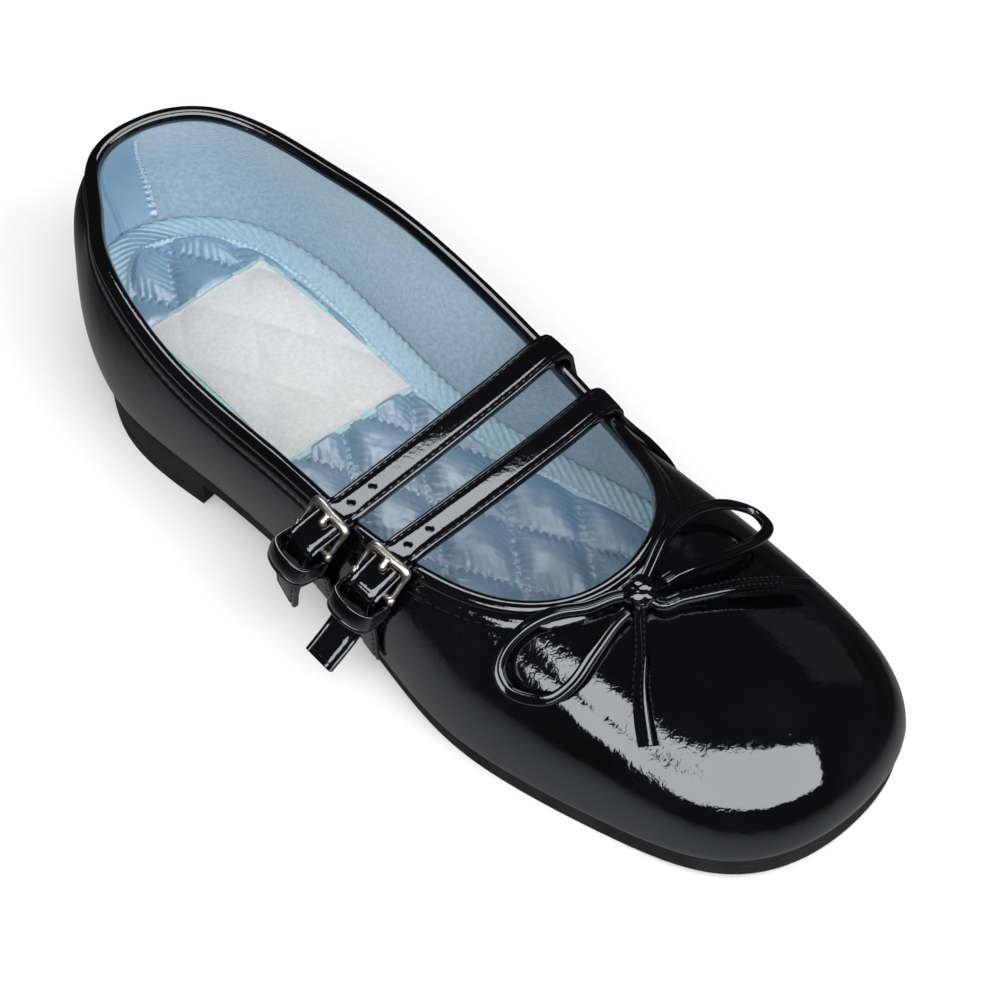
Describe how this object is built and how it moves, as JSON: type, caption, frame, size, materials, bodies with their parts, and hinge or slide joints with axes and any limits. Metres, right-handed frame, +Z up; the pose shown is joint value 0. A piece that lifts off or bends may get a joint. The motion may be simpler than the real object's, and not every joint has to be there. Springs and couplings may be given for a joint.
{
  "type": "mary jane shoe",
  "caption": "Right-foot flat mary jane shoe in black patent with a round toe, rolled topline, buckled straps over the instep, a small bow on the vamp and a quilted pale blue insole.",
  "frame": {"origin": "on the floor under the middle of the shoe's bounding box, bow left out", "axes": "+Y from toe to heel, +Z up, +X towards the medial side of this right shoe, so the buckles are on the -X side"},
  "size_m": [0.1038, 0.2478, 0.0574],
  "materials": {
    "patent": "high-gloss black patent",
    "sole": "semi-matte black",
    "satin": "pale blue quilted satin",
    "buckle_metal": "aged nickel plate"
  },
  "bodies": {
    "root": {"outsole": "sole", "heel": "sole", "insole": "satin", "upper": "patent", "binding": "patent", "strap_rear": "patent", "buckle_tab_rear": "patent", "buckle_rear": "buckle_metal", "prong_rear": "buckle_metal", "keeper_rear": "patent", "strap_front": "patent", "buckle_tab_front": "patent", "buckle_front": "buckle_metal", "prong_front": "buckle_metal", "keeper_front": "patent", "bow_knot": "patent", "bow_loop_medial": "patent", "bow_loop_lateral": "patent", "bow_tail_medial": "patent", "bow_tail_lateral": "patent"}
  },
  "joints": []
}
